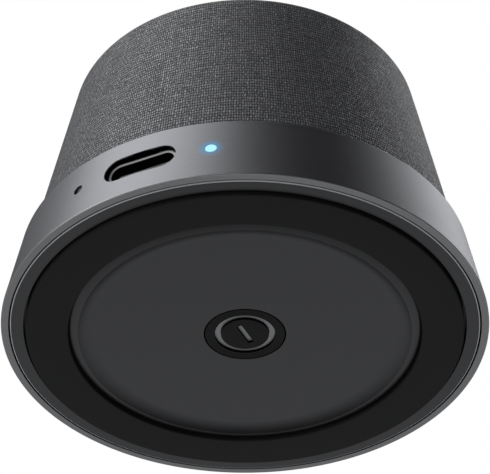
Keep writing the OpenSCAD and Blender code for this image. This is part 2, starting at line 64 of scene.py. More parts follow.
BAND_LO, BAND_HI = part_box("base_band")
SLEEVE_LO, SLEEVE_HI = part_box("fabric_sleeve")
COVER_LO, COVER_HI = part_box("bottom_cover")
FOOT_LO, FOOT_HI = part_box("rubber_foot")
PANEL_LO, PANEL_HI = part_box("centre_panel")
BUTTON_LO, BUTTON_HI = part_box("power_button")
ICON_LO, ICON_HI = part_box("button_icon")
BEZEL_LO, BEZEL_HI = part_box("usb_bezel")
SHELL_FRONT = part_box("usb_shell")[0].y

# The metal band
EDGE = 0.15 * MM                                  # small break on the band's and cover's edges
SOFT_EDGE = 0.06 * MM
BAND_LEAN = math.radians(9.65)
BAND_Z0, BAND_Z1 = BAND_LO.z, BAND_HI.z
BAND_R = BAND_HI.x + EDGE * math.tan(BAND_LEAN)   # radius where the wall meets the bottom plane
BAND_TOP_R = BAND_R - (BAND_Z1 - BAND_Z0) * math.tan(BAND_LEAN)
BAND_INNER_R, FLANGE_R = 27.3 * MM, 25.9 * MM     # inside of the band, and of its inner flange
FLANGE_T = 1 * MM
SEAT_Z = 8.3 * MM                                 # top of the flange, where the fabric's hem sits
SEAT_GAP = 0.12 * MM
LIP_IN_R = COVER_HI.x + 0.18 * MM

# What shows through the band
PORT_Z = (BEZEL_LO.z + BEZEL_HI.z) / 2
PORT_A = math.radians(-90)
LIGHT_A = math.radians(-90 + 17.2)
MIC_A = math.radians(-90 - 17.1)
SLOT_W, SLOT_H = 9.33 * MM, 3.75 * MM
LIGHT_R, MIC_R = 0.7 * MM, 0.65 * MM
LIGHT_SPILL_R = 1.9 * MM
HOLE_START = 24 * MM                              # distance from the axis, well inside the band
LIGHT_SEAT, MIC_SEAT = (1.25 * MM, 28.2 * MM), (1.1 * MM, 28.9 * MM)     # radius, and how far out
BEZEL_GAP = 0.05 * MM

# The fabric cover
FABRIC_LEAN = math.radians(9.9)
FABRIC_R = SLEEVE_HI.x
FABRIC_T = 0.6 * MM
TOP_Z = SLEEVE_HI.z
TOP_ROUND = 1.9 * MM
HEM_RISE, HEM_OUT, HEM_IN = 0.2 * MM, 0.25 * MM, 0.15 * MM     # how the hem's edges taper
WARP_PITCH, WEFT_PITCH = 0.325 * MM, 0.53 * MM

# The bottom cover
COVER_TOP = 3.1 * MM                              # inside face of its plate
COVER_HOLE_R = 6.5 * MM
RECESS_GAP, RECESS_EDGE = 0.25 * MM, 0.08 * MM    # round the foot
POST_CIRCLE_R, POST_ANGLES = 24.3 * MM, (90, 210, 330)         # the posts take the screws
POST_R, POST_BORE_R, SCREW_HEAD_R, HEAD_DEPTH = 2.3 * MM, 1.1 * MM, 2.1 * MM, 1.3 * MM
POST_GAP = 0.15 * MM
STANDOFF_CIRCLE_R, STANDOFF_ANGLES = 19 * MM, (45, 135, 225, 315)        # the board stands on these
STANDOFF_R, STANDOFF_BORE_R, STANDOFF_TOP = 1.8 * MM, 0.8 * MM, 7.2 * MM

# The foot, the dished panel and the button
FOOT_EDGE = 0.22 * MM
FOOT_GAP = 0.09 * MM
RIM_BEVEL, RIM_FLAT, RIM_DROP = 1.1 * MM, 0.2 * MM, 0.25 * MM
DISH_SLOPE = 2.1 * MM                             # width of the fillet from the crest to the floor
BUTTON_FACE_R, BUTTON_GAP = 5 * MM, 0.15 * MM
BUTTON_FLANGE_T, BUTTON_FLANGE_GAP = 0.8 * MM, 0.05 * MM
STEM_R = 1.7 * MM                                 # the button's stem, which meets the switch
ICON_W, ICON_L = 0.7 * MM, 3.6 * MM               # the icon's bar
ICON_RING = 0.76 * MM
ICON_GAP = 0.02 * MM                              # between the icon and its groove's walls
ICON_EDGE, BAR_CORNER = 0.03 * MM, 0.08 * MM

# The driver's flexing parts
COIL_R, CONE_R = 7.12 * MM, 14 * MM               # outside of the coil's former, rim of the cone
SPIDER_HELD_R, SURROUND_HELD_R = 12.5 * MM, 16.8 * MM          # where they stop moving
SPIDER_T, SPIDER_RIM, SPIDER_WAVES = 0.25 * MM, 1.3 * MM, 3
SURROUND_T, ROLL_R, ROLL_MIDDLE_R = 0.3 * MM, 1.2 * MM, 15.5 * MM
SECTORS = 12

# The camera and its surroundings
CAMERA_AZIMUTH = 24.9
CAMERA_DISTANCE = 6.612 * BAND_R
CAMERA_DROP = 5.071 * BAND_R
CAMERA_PITCH = 40.32
CAMERA_LENS, CAMERA_SENSOR = 148.92, 36
LIGHT_TINT = (0.98, 0.995, 1.025)
LIGHT_DISTANCE = 0.5
LIGHT_TARGET = Vector((0, 0, 0.015))
FILL_BELOW, FILL_ABOVE = 0.096, 0.024
GLOW, GLOW_AZIMUTH, GLOW_ELEVATION = 0.64, CAMERA_AZIMUTH + 180, -30
FLOOR_HALF, FLOOR_GAP = 3, 0.03 * MM
FLOOR_NEAR, FLOOR_FAR, FLOOR_GLOW = 0.1, 1.2, 0.8              # where the floor starts to glow


def band_radius(z):
    """Outer radius of the metal band at height z."""
    return BAND_R - (z - BAND_Z0) * math.tan(BAND_LEAN)


def wall_radius(z):
    """Outer radius of the fabric's leaning wall at height z."""
    return FABRIC_R - (z - BAND_Z1) * math.tan(FABRIC_LEAN)


# ---------------------------------------------------------------- mesh helpers


def arc(x, y, radius, start, end, steps):
    """Points of an arc about (x, y), angles in degrees."""
    angles = [math.radians(start + (end - start) * i / steps) for i in range(steps + 1)]
    return [(x + radius * math.cos(a), y + radius * math.sin(a)) for a in angles]


def rounded(points, steps=4):
    """A closed outline of (x, y, corner radius) points with its corners rounded."""
    out = []
    for i, (x, y, radius) in enumerate(points):
        here = Vector((x, y))
        back = Vector(points[i - 1][:2]) - here
        ahead = Vector(points[(i + 1) % len(points)][:2]) - here
        if radius <= 0:
            out.append((x, y))
            continue
        turn = back.angle(ahead)
        reach = min(radius / math.tan(turn / 2), 0.45 * back.length, 0.45 * ahead.length)
        a, b = here + back.normalized() * reach, here + ahead.normalized() * reach
        for k in range(steps + 1):
            t = k / steps
            out.append(tuple((1 - t) ** 2 * a + 2 * t * (1 - t) * here + t * t * b))
    return out


def new_object(name, verts, faces):
    """A new object from its corners and its faces."""
    mesh = bpy.data.meshes.new(name)
    mesh.from_pydata(verts, [], faces)
    mesh.validate()
    obj = bpy.data.objects.new(name, mesh)
    bpy.context.scene.collection.objects.link(obj)
    return obj


def face_outwards(obj):
    """Turns every face of a closed solid to point outwards."""
    bm = bmesh.new()
    bm.from_mesh(obj.data)
    bmesh.ops.recalc_face_normals(bm, faces=bm.faces)
    bm.to_mesh(obj.data)
    bm.free()


def smooth(obj, sharp=32):
    """Smooth shading, with edges sharper than that many degrees kept crisp."""
    obj.data.polygons.foreach_set("use_smooth", [True] * len(obj.data.polygons))
    obj.data.set_sharp_from_angle(angle=math.radians(sharp))
    return obj


def lathe(name, outline, segments=256, sharp=32):
    """A closed solid turned about Z from a closed outline of (radius, z) points."""
    verts, rings = [], []
    for r, z in outline:
        if r < 1e-9:
            rings.append([len(verts)] * segments)
            verts.append((0, 0, z))
            continue
        rings.append([len(verts) + i for i in range(segments)])
        for i in range(segments):
            a = 2 * math.pi * i / segments
            verts.append((r * math.cos(a), r * math.sin(a), z))
    faces = []
    for k, low in enumerate(rings):
        high = rings[(k + 1) % len(rings)]
        if low[0] == low[1] and high[0] == high[1]:
            continue
        for i in range(segments):
            j = (i + 1) % segments
            corners = [low[i], low[j], high[j], high[i]]
            faces.append(list(dict.fromkeys(corners)))
    obj = new_object(name, verts, faces)
    face_outwards(obj)
    return smooth(obj, sharp)


def circle(radius, x=0, y=0, corners=48):
    """Corners of a circle about (x, y)."""
    return arc(x, y, radius, 0, 360 - 360 / corners, corners - 1)


def stadium(w, h, steps=16):
    """Outline of a slot with round ends, as (x, z) points about its centre."""
    x = (w - h) / 2
    return arc(x, 0, h / 2, -90, 90, steps) + arc(-x, 0, h / 2, 90, 270, steps)


def rounded_bar(w, h, radius):
    """Outline of a bar with rounded corners about (0, 0)."""
    x, y = w / 2, h / 2
    return rounded([(-x, -y, radius), (x, -y, radius), (x, y, radius), (-x, y, radius)])


def loft(name, rings):
    """A closed solid through rings of points, capped at both ends."""
    n = len(rings[0])
    verts = [p for ring in rings for p in ring]
    faces = [list(range(n))[::-1], [len(verts) - n + i for i in range(n)]]
    for k in range(len(rings) - 1):
        for i in range(n):
            j = (i + 1) % n
            faces.append([k * n + i, k * n + j, (k + 1) * n + j, (k + 1) * n + i])
    obj = new_object(name, verts, faces)
    face_outwards(obj)
    return obj


def prism(name, outline, z0, z1):
    """An upright bar with that outline, from one height to another."""
    return loft(name, [[Vector((x, y, z)) for x, y in outline] for z in (z0, z1)])


def rod(circle_r, degrees, radius, z0, z1):
    """An upright round bar, at a place on a circle about the axis."""
    a = math.radians(degrees)
    return prism("cutter", circle(radius, circle_r * math.cos(a), circle_r * math.sin(a)), z0, z1)


def band_point(angle, x, out, z):
    """A point at that angle round the band: a side step x, a distance out, z above the port."""
    across = Vector((-math.sin(angle), math.cos(angle), 0))
    outward = Vector((math.cos(angle), math.sin(angle), 0))
    return across * x + outward * out + Vector((0, 0, PORT_Z + z))


def wall_cutter(angle, outline_of, fillet, steps=5):
    """A cutter for a hole in the band's leaning wall, with a rounded mouth.

    outline_of(grow) gives (x, z) points about the hole's centre. The rings follow the wall's
    surface, so that the mouth's rounding is even all round."""

    def ring(grow, down):
        return [band_point(angle, x, math.sqrt(band_radius(PORT_Z + z) ** 2 - x * x) - down, z)
                for x, z in outline_of(grow)]

    rings = [ring(fillet, -1 * MM)]
    for k in range(steps + 1):
        t = math.radians(90 * k / steps)
        rings.append(ring(fillet * (1 - math.sin(t)), fillet * (1 - math.cos(t))))
    rings.append([band_point(angle, x, HOLE_START, z) for x, z in outline_of(0)])
    return loft("cutter", rings)


def seat_cutter(angle, radius, end):
    """A round bar that points outwards at the port's height, from inside the band."""
    return loft("cutter", [[band_point(angle, x, out, z) for x, z in circle(radius)]
                           for out in (HOLE_START, end)])


def cut(obj, cutters, operation="DIFFERENCE"):
    """Takes the cutters out of obj, or joins them to it, for good."""
    for cutter in cutters:
        modifier = obj.modifiers.new("cut", "BOOLEAN")
        modifier.operation = operation
        modifier.solver = "EXACT"
        modifier.object = cutter
    graph = bpy.context.evaluated_depsgraph_get()
    mesh = bpy.data.meshes.new_from_object(obj.evaluated_get(graph))
    obj.modifiers.clear()
    obj.data = mesh
    for cutter in cutters:
        bpy.data.objects.remove(cutter)
    return obj


# ---------------------------------------------------------------- material helpers


def feed(tree, socket, value):
    """Links another node's output to the socket, or sets a constant on it."""
    if isinstance(value, bpy.types.NodeSocket):
        tree.links.new(value, socket)
    else:
        socket.default_value = value


class Nodes:
    """Builds the node tree of a material or of the world."""

    def __init__(self, owner):
        owner.use_nodes = True
        self.owner, self.tree = owner, owner.node_tree
        self.shader = self.tree.nodes.get("Principled BSDF")

    def add(self, kind, *inputs, **settings):
        """A new node with its settings, and its first inputs linked or set."""
        node = self.tree.nodes.new(kind)
        for key, value in settings.items():
            setattr(node, key, value)
        for socket, value in zip(node.inputs, inputs):
            feed(self.tree, socket, value)
        return node

    def set(self, **sockets):
        """Links or sets the shader's own inputs, named with _ for each space."""
        for key, value in sockets.items():
            feed(self.tree, self.shader.inputs[key.replace("_", " ")], value)

    def math(self, operation, *values, clamp=False):
        return self.add("ShaderNodeMath", *values, operation=operation, use_clamp=clamp).outputs[0]

    def both(self, a, b):
        return self.math("MULTIPLY", a, b)

    def weigh(self, a, b):
        """Three parts of a to two parts of b."""
        return self.math("ADD", self.math("MULTIPLY", a, 0.6), self.math("MULTIPLY", b, 0.4))

    def measure(self, operation, *vectors):
        """A vector operation that gives a number."""
        return self.add("ShaderNodeVectorMath", *vectors, operation=operation).outputs["Value"]

    def vector(self, *parts):
        return self.add("ShaderNodeCombineXYZ", *parts).outputs[0]

    def parts(self, vector):
        return self.add("ShaderNodeSeparateXYZ", vector).outputs

    def radius(self, vector):
        """Distance from the Z axis."""
        x, y, _ = self.parts(vector)
        return self.measure("LENGTH", self.vector(x, y))

    def mix(self, factor, a, b):
        """Colour a where the factor is 0, b where it is 1."""
        node = self.add("ShaderNodeMix", factor, data_type="RGBA")
        for index, value in ((6, a), (7, b)):
            feed(self.tree, node.inputs[index], value)
        return node.outputs[2]

    def choose(self, factor, a, b):
        """Number a where the factor is 0, b where it is 1."""
        node = self.add("ShaderNodeMix", factor, data_type="FLOAT")
        for index, value in ((2, a), (3, b)):
            feed(self.tree, node.inputs[index], value)
        return node.outputs[0]

    def position(self, kind="Object"):
        return self.add("ShaderNodeTexCoord").outputs[kind]

    def noise(self, where, scale, detail=3.0, roughness=0.55, output="Fac"):
        node = self.add("ShaderNodeTexNoise")
        for name, value in (("Vector", where), ("Scale", scale), ("Detail", detail),
                            ("Roughness", roughness)):
            feed(self.tree, node.inputs[name], value)
        return node.outputs[output]

    def grain(self, where, size):
        """Noise with grains of about that size."""
        return self.noise(where, 1 / size, detail=2)

    def span(self, value, low, high, start=0.0, end=1.0, kind="LINEAR"):
        """Turns the value's range from start to end into low to high."""
        return self.add("ShaderNodeMapRange", value, start, end, low, high,
                        interpolation_type=kind).outputs["Result"]

    def bump(self, height, distance, strength=1.0):
        node = self.add("ShaderNodeBump")
        for name, value in (("Strength", strength), ("Distance", distance), ("Height", height)):
            feed(self.tree, node.inputs[name], value)
        self.set(Normal=node.outputs["Normal"])

    def surface(self, factor, a, b):
        """Makes the owner look like shader a where the factor is 0, and b where it is 1."""
        out = next(node for node in self.tree.nodes if "Surface" in node.inputs)
        feed(self.tree, out.inputs["Surface"], self.add("ShaderNodeMixShader", factor, a, b).outputs[0])


def new_material(name):
    return Nodes(bpy.data.materials.new(name))


def grey(value, blue=0.0):
    return (value, value, value * (1 + blue), 1.0)


def shade(colour, factor):
    return tuple(c * factor for c in colour[:3]) + (1.0,)


def moulded(name, colour, rough, grain=0.12 * MM, depth=0.01 * MM, metallic=0.0, mottle=0.1,
            **sockets):
    """Plastic, rubber or metal with a fine grain in its colour, roughness and surface."""
    n = new_material(name)
    where = n.position()
    fine = n.grain(where, grain)
    tone = n.weigh(n.noise(where, 180), fine)
    n.bump(fine, depth)
    n.set(Base_Color=n.mix(tone, shade(colour, 1 - mottle), shade(colour, 1 + mottle)),
          Roughness=n.span(fine, rough - 0.05, rough + 0.05, 0.3, 0.7), Metallic=metallic, **sockets)
    return n.owner


def turned_material(name, colour, rough, pitch, depth, metallic=0.0, painted_shade_above=None):
    """A surface with fine turned rings about the Z axis, with painted shade that makes it black in the
    grooves above a height.
    """
    n = new_material(name)
    where = n.position()
    rings = n.math("SINE", n.math("MULTIPLY", n.radius(where), 2 * math.pi / pitch))
    fine = n.math("MULTIPLY_ADD", n.grain(where, 0.1 * MM), 0.4, -0.2)
    tone = n.math("ADD", n.math("MULTIPLY_ADD", rings, 0.3, 0.5), fine)
    skin = n.mix(tone, shade(colour, 0.85), shade(colour, 1.15))
    gloss = n.span(tone, rough - 0.06, rough + 0.06)
    # Painted shade: above that height the grooves are painted near black, and their roughness goes to 1.
    if painted_shade_above is not None:
        painted_groove_shade = n.math("GREATER_THAN", n.parts(where)[2], painted_shade_above)
        skin = n.mix(painted_groove_shade, skin, grey(0.0005))
        gloss = n.math("MAXIMUM", gloss, painted_groove_shade)
    n.bump(rings, depth)
    n.set(Base_Color=skin, Roughness=gloss, Metallic=metallic, Specular_IOR_Level=0.15)
    return n.owner


# ---------------------------------------------------------------- materials


def fabric_material():
    """Fine plain weave of grey melange yarn, laid along the wall by the weave's own coordinates.

    The threads are one unit apart. Noise moves them about a little. The colour carries painted shade: each
    yarn darkens towards its edges and into the gaps, and cells where the round yarn lies on top are
    painted darker."""
    n = new_material("fabric_weave")
    drift = n.noise(n.position(), 1 / (0.7 * MM), detail=1, roughness=0.5, output="Color")
    threads = n.add("ShaderNodeUVMap", uv_map="weave").outputs[0]
    wandering = n.add("ShaderNodeVectorMath", drift, (1.1, 1.1, 1.1), threads, operation="MULTIPLY_ADD")
    u, v, _ = n.parts(wandering.outputs[0])
    iu, iv = n.math("FLOOR", u), n.math("FLOOR", v)
    over = n.math("ABSOLUTE", n.math("MODULO", n.math("ADD", iu, iv), 2.0))
    su, sv = (n.math("SINE", n.math("MULTIPLY", n.math("FRACT", t), math.pi)) for t in (u, v))
    warp = n.math("MULTIPLY", n.math("POWER", su, 2.0), n.math("POWER", sv, 0.7))
    weft = n.math("MULTIPLY", n.math("POWER", sv, 2.0), su)
    height = n.choose(over, warp, weft)

    def yarn(index, along, seed):
        """A yarn's own tone, which changes slowly along it."""
        place = n.vector(index, n.math("MULTIPLY", along, 0.07), seed)
        return n.noise(place, 1, detail=2, roughness=0.5)

    melange = n.span(n.choose(over, yarn(iu, v, 3.7), yarn(iv, u, 9.1)), 0.6, 1.4, 0.3, 0.7)
    fleck = n.add("ShaderNodeTexWhiteNoise", n.vector(iu, iv), noise_dimensions="2D").outputs["Value"]
    melange = n.math("MULTIPLY", melange, n.span(fleck, 0.72, 1.28))
    # Painted shade: cells where the round yarn lies on top are darker than where the upright yarn does.
    melange = n.math("MULTIPLY", melange, n.span(over, 1.12, 0.92))
    # Painted shade: the colour follows the yarns' height, near black in the gaps between them.
    lit = n.math("MULTIPLY", n.math("MULTIPLY", melange, height), 0.7, clamp=True)
    n.bump(height, 0.06 * MM, 0.5)
    n.set(Base_Color=n.mix(lit, grey(0.004), grey(0.30, 0.04)),
          Roughness=n.span(lit, 0.8, 0.45, 0.1, 0.6), Specular_IOR_Level=0.7)
    return n.owner


def band_material():
    """Dark anodised aluminium: a finely brushed wall, a turned lip, a painted highlight on the bottom
    edge, painted shade inside, and the status light's spill painted on as colour and glow.
    """
    n = new_material("band_metal")
    where = n.position()
    x, y, z = n.parts(where)
    radius = n.radius(where)
    round_the_band = n.vector(*(n.math("MULTIPLY", part, scale)
                                for part, scale in ((x, 70), (y, 70), (z, 6000))))
    round_the_lip = n.vector(n.math("MULTIPLY", n.math("ARCTAN2", y, x), 260))
    on_lip = n.math("LESS_THAN", z, BAND_Z0 + 0.03 * MM)
    brushed = n.choose(on_lip, n.noise(round_the_band, 1, roughness=0.65),
                       n.noise(round_the_lip, 1, detail=2))
    blast = n.grain(where, 0.1 * MM)
    tone = n.weigh(brushed, blast)

    wall = n.mix(n.span(tone, 0.0, 1.0, 0.3, 0.7), grey(0.15, 0.03), grey(0.185, 0.03))
    lip = n.mix(tone, grey(0.20), grey(0.27))
    metal = n.mix(on_lip, wall, lip)
    # Painted highlight: the wall's bottom edge is painted a lighter grey.
    painted_highlight_edge = n.both(n.math("GREATER_THAN", radius, BAND_R - EDGE),
                     n.math("LESS_THAN", z, BAND_Z0 + EDGE))
    metal = n.mix(painted_highlight_edge, metal, grey(0.42))

    # Painted shade: faces that lie inside the outer wall, such as the holes' walls and the band's inside,
    # are painted near black.
    surface = n.math("MULTIPLY_ADD", z, -math.tan(BAND_LEAN), BAND_R + BAND_Z0 * math.tan(BAND_LEAN))
    depth = n.math("SUBTRACT", surface, radius)
    between = n.both(n.math("GREATER_THAN", z, BAND_Z0 + 0.2 * MM),
                     n.math("LESS_THAN", z, BAND_Z1 - 0.2 * MM))
    inside = n.both(between, n.math("GREATER_THAN", depth, 0.13 * MM))
    metal = n.mix(inside, metal, grey(0.002))

    # Painted light: the status light's blue spill is painted round it as colour and emission.
    light = band_point(LIGHT_A, 0, band_radius(PORT_Z), 0)
    spill = n.span(n.measure("DISTANCE", where, light), 1.0, 0.0, LIGHT_R, LIGHT_SPILL_R)
    spill = n.math("POWER", spill, 1.8)
    n.bump(blast, 0.004 * MM)
    n.set(Base_Color=n.mix(spill, metal, (0.06, 0.11, 0.15, 1)),
          Roughness=n.span(tone, 0.44, 0.52, 0.3, 0.7), Metallic=1.0,
          Emission_Color=n.mix(spill, (0, 0, 0, 1), (0.05, 0.15, 0.28, 1)), Emission_Strength=1.0)
    return n.owner


def cover_material():
    """Fine-grained dark plastic with a painted highlight on its outer edge."""
    n = new_material("cover_plastic")
    where = n.position()
    fine = n.grain(where, 0.12 * MM)
    # Painted highlight: the outer edge's bevel is painted light grey.
    painted_highlight_edge = n.both(n.math("GREATER_THAN", n.radius(where), COVER_HI.x - 0.13 * MM),
                     n.math("LESS_THAN", n.parts(where)[2], COVER_LO.z + 0.12 * MM))
    skin = n.mix(fine, grey(0.010, 0.1), grey(0.013, 0.1))
    n.bump(fine, 0.006 * MM)
    n.set(Base_Color=n.mix(painted_highlight_edge, skin, grey(0.85)), Roughness=n.span(fine, 0.36, 0.44, 0.3, 0.7))
    return n.owner


def receptacle_material():
    """Nickel-plated steel, bright at the receptacle's mouth, with painted shade that makes it dark within.
    """
    n = new_material("receptacle_steel")
    where = n.position()
    y = n.parts(where)[1]
    fine = n.grain(where, 0.15 * MM)
    mouth = n.math("LESS_THAN", y, SHELL_FRONT + 0.03 * MM)
    # Painted shade: behind the mouth, as far back as the bezel, the shell is painted near black.
    painted_shade_zone = n.math("LESS_THAN", y, BEZEL_HI.y)
    within = n.mix(painted_shade_zone, grey(0.5), grey(0.002))
    n.set(Base_Color=n.mix(mouth, within, n.mix(fine, grey(0.6), grey(0.75))),
          Roughness=n.span(fine, 0.5, 0.6, 0.3, 0.7), Specular_IOR_Level=0.2)
    return n.owner


def light_pipe_material():
    """The status light's clear pipe, lit from inside."""
    n = new_material("status_light")
    cloud = n.noise(n.position(), 1600, detail=2)
    n.set(Emission_Color=n.mix(cloud, (0.36, 0.83, 0.92, 1), (0.44, 0.90, 0.98, 1)),
          Base_Color=(0.02, 0.04, 0.05, 1), Roughness=0.4, Emission_Strength=0.95)
    return n.owner


def mesh_material():
    """Fine woven wire, dark grey."""
    n = new_material("microphone_mesh")
    cells = n.add("ShaderNodeTexVoronoi", n.position())
    cells.inputs["Scale"].default_value = 1 / (0.14 * MM)
    hole = n.span(cells.outputs["Distance"], 0.0, 1.0, 0.15, 0.45)
    n.bump(hole, 0.02 * MM)
    n.set(Base_Color=n.mix(hole, grey(0.28), grey(0.09)), Roughness=0.6, Specular_IOR_Level=0.3)
    return n.owner


# ---------------------------------------------------------------- visible pieces


def fabric_sleeve():
    """Sleeve of woven fabric: straight hem in the band, leaning wall, rounded edge and top."""
    centre_z = TOP_Z - TOP_ROUND
    centre_r = wall_radius(centre_z) - TOP_ROUND / math.cos(FABRIC_LEAN)
    lean = math.degrees(FABRIC_LEAN)
    wall_steps, top_steps = 40, 16
    edge = arc(centre_r, centre_z, TOP_ROUND, lean, 90, 14)
    foot_of_wall = Vector((wall_radius(BAND_Z1), BAND_Z1))
    outside = [(FABRIC_R - HEM_OUT, SLEEVE_LO.z), (FABRIC_R, SLEEVE_LO.z + HEM_RISE), (FABRIC_R, BAND_Z1)]
    outside += [tuple(foot_of_wall.lerp(Vector(edge[0]), k / wall_steps)) for k in range(1, wall_steps)]
    outside += edge
    outside += [(centre_r * (1 - k / top_steps), TOP_Z) for k in range(1, top_steps + 1)]
    inner_r = FABRIC_R - FABRIC_T
    inside = [(0, TOP_Z - FABRIC_T), *arc(centre_r, centre_z, TOP_ROUND - FABRIC_T, 90, lean, 8),
              (inner_r, BAND_Z1), (inner_r, SLEEVE_LO.z + HEM_RISE), (inner_r + HEM_IN, SLEEVE_LO.z)]
    obj = lathe("fabric_cover", outside + inside, segments=384, sharp=60)
    lay_weave(obj)
    return obj


def lay_weave(obj):
    """Weave coordinates in threads: round and along the wall, and straight across the top."""
    around = 2 * round(math.pi * FABRIC_R / WARP_PITCH)
    layer = obj.data.uv_layers.new(name="weave")
    mesh = obj.data
    for face in mesh.polygons:
        flat = face.normal.z > 0.9
        middle = math.atan2(face.center.y, face.center.x)
        for loop in face.loop_indices:
            p = mesh.vertices[mesh.loops[loop].vertex_index].co
            if flat:
                layer.data[loop].uv = (p.x / WARP_PITCH, p.y / WEFT_PITCH)
                continue
            angle = math.atan2(p.y, p.x)
            angle += 2 * math.pi * round((middle - angle) / (2 * math.pi))
            along = (p.z - BAND_Z0) / math.cos(FABRIC_LEAN)
            layer.data[loop].uv = (angle / (2 * math.pi) * around, along / WEFT_PITCH)


def base_band():
    """Metal band: leaning wall, flat lip, broken edges, USB slot and two round holes."""
    seat_r = FABRIC_R + SEAT_GAP
    obj = lathe("metal_band", rounded([
        (LIP_IN_R, BAND_Z0, SOFT_EDGE), (BAND_R, BAND_Z0, EDGE), (BAND_TOP_R, BAND_Z1, EDGE),
        (seat_r, BAND_Z1, SOFT_EDGE), (seat_r, SEAT_Z, 0), (FLANGE_R, SEAT_Z, 0),
        (FLANGE_R, SEAT_Z - FLANGE_T, 0), (BAND_INNER_R, SEAT_Z - FLANGE_T, 0),
        (BAND_INNER_R, COVER_TOP, 0), (LIP_IN_R, COVER_TOP, 0),
    ]), segments=720, sharp=35)
    gap = Vector((BEZEL_GAP, BEZEL_GAP, BEZEL_GAP))
    bezel_lo, bezel_hi = BEZEL_LO - gap, BEZEL_HI + gap
    bezel_back = -20 * MM
    bezel_outline = [(bezel_lo.x, bezel_lo.y), (bezel_hi.x, bezel_lo.y),
                     (bezel_hi.x, bezel_back), (bezel_lo.x, bezel_back)]
    cutters = [
        wall_cutter(PORT_A, lambda grow: stadium(SLOT_W + 2 * grow, SLOT_H + 2 * grow), 0.08 * MM),
        wall_cutter(LIGHT_A, lambda grow: circle(LIGHT_R + grow), 0.05 * MM),
        wall_cutter(MIC_A, lambda grow: circle(MIC_R + grow), 0.07 * MM),
        prism("cutter", bezel_outline, bezel_lo.z, bezel_hi.z),
        seat_cutter(LIGHT_A, *LIGHT_SEAT),
        seat_cutter(MIC_A, *MIC_SEAT),
    ]
    cutters += [rod(POST_CIRCLE_R, a, POST_R + POST_GAP, SEAT_Z - 2 * FLANGE_T, SEAT_Z + FLANGE_T)
                for a in POST_ANGLES]
    smooth(cut(obj, cutters), 35)
    true_wall_normals(obj)
    return obj


def true_wall_normals(obj):
    """Gives the band's leaning wall its exact normals, so that the cut-outs leave no smears."""
    mesh = obj.data
    normals = [Vector(c.vector) for c in mesh.corner_normals]
    rise = math.sin(BAND_LEAN)
    for face in mesh.polygons:
        c = face.center
        out = Vector((c.x, c.y, 0)).normalized() * math.cos(BAND_LEAN) + Vector((0, 0, rise))
        r = math.hypot(c.x, c.y)
        if face.normal.dot(out) < 0.999 or r < band_radius(c.z) - 0.02 * MM:
            continue
        for loop in face.loop_indices:
            p = mesh.vertices[mesh.loops[loop].vertex_index].co
            exact = Vector((p.x, p.y, 0)).normalized() * math.cos(BAND_LEAN) + Vector((0, 0, rise))
            normals[loop] = exact
    mesh.normals_split_custom_set([tuple(v) for v in normals])


def bottom_cover():
    """The cover: its ring, the recess for the foot and the panel, screw posts and standoffs."""
    recess_r, floor_z = FOOT_HI.x + RECESS_GAP, FOOT_HI.z
    root_z = COVER_TOP - 0.5 * MM
    obj = lathe("cover_plate", rounded([
        (COVER_HOLE_R, floor_z, 0), (recess_r, floor_z, 0), (recess_r, COVER_LO.z, RECESS_EDGE),
        (COVER_HI.x, COVER_LO.z, EDGE), (COVER_HI.x, COVER_TOP, 0), (COVER_HOLE_R, COVER_TOP, 0),
    ]))
    posts = [rod(POST_CIRCLE_R, a, POST_R, root_z, COVER_HI.z) for a in POST_ANGLES]
    posts += [rod(STANDOFF_CIRCLE_R, a, STANDOFF_R, root_z, STANDOFF_TOP) for a in STANDOFF_ANGLES]
    holes = [rod(POST_CIRCLE_R, a, POST_BORE_R, 0, 10 * MM) for a in POST_ANGLES]
    holes += [rod(POST_CIRCLE_R, a, SCREW_HEAD_R, 0, floor_z + HEAD_DEPTH) for a in POST_ANGLES]
    holes += [rod(STANDOFF_CIRCLE_R, a, STANDOFF_BORE_R, 4 * MM, 8 * MM) for a in STANDOFF_ANGLES]
    cut(obj, posts, "UNION")
    return smooth(cut(obj, holes))


def rubber_foot():
    inner_r = PANEL_HI.x + FOOT_GAP
    return lathe("foot_ring", rounded([
        (inner_r, FOOT_LO.z, FOOT_EDGE), (FOOT_HI.x, FOOT_LO.z, FOOT_EDGE),
        (FOOT_HI.x, FOOT_HI.z, 0), (inner_r, FOOT_HI.z, 0),
    ], steps=6))


def centre_panel():
    """Dished panel: bevelled rim, crest, a soft fillet down to the floor, and the button's hole."""
    crest_z, floor_z, back_z = PANEL_LO.z, BUTTON_LO.z, PANEL_HI.z
    crest_r = PANEL_HI.x - RIM_BEVEL
    floor_r = crest_r - DISH_SLOPE
    hole_r = BUTTON_FACE_R + BUTTON_GAP
    hole_edge = 0.04 * MM
    drop = floor_z - crest_z
    bend = (DISH_SLOPE ** 2 + drop ** 2) / (2 * drop)
    sweep = math.degrees(math.asin(DISH_SLOPE / bend))
    hole = [(hole_r, back_z), (hole_r, floor_z + hole_edge), (hole_r + hole_edge, floor_z)]
    rim = rounded([
        (PANEL_HI.x, back_z, 0), (crest_r - RIM_FLAT, crest_z, 0), (crest_r, crest_z, 0.1 * MM),
        (PANEL_HI.x, crest_z + RIM_DROP, 0.1 * MM),
    ], steps=3)
    fillet = arc(floor_r, floor_z - bend, bend, 90, 90 - sweep, 10)
    return lathe("dished_panel", hole + fillet + rim[2:] + [rim[0]])


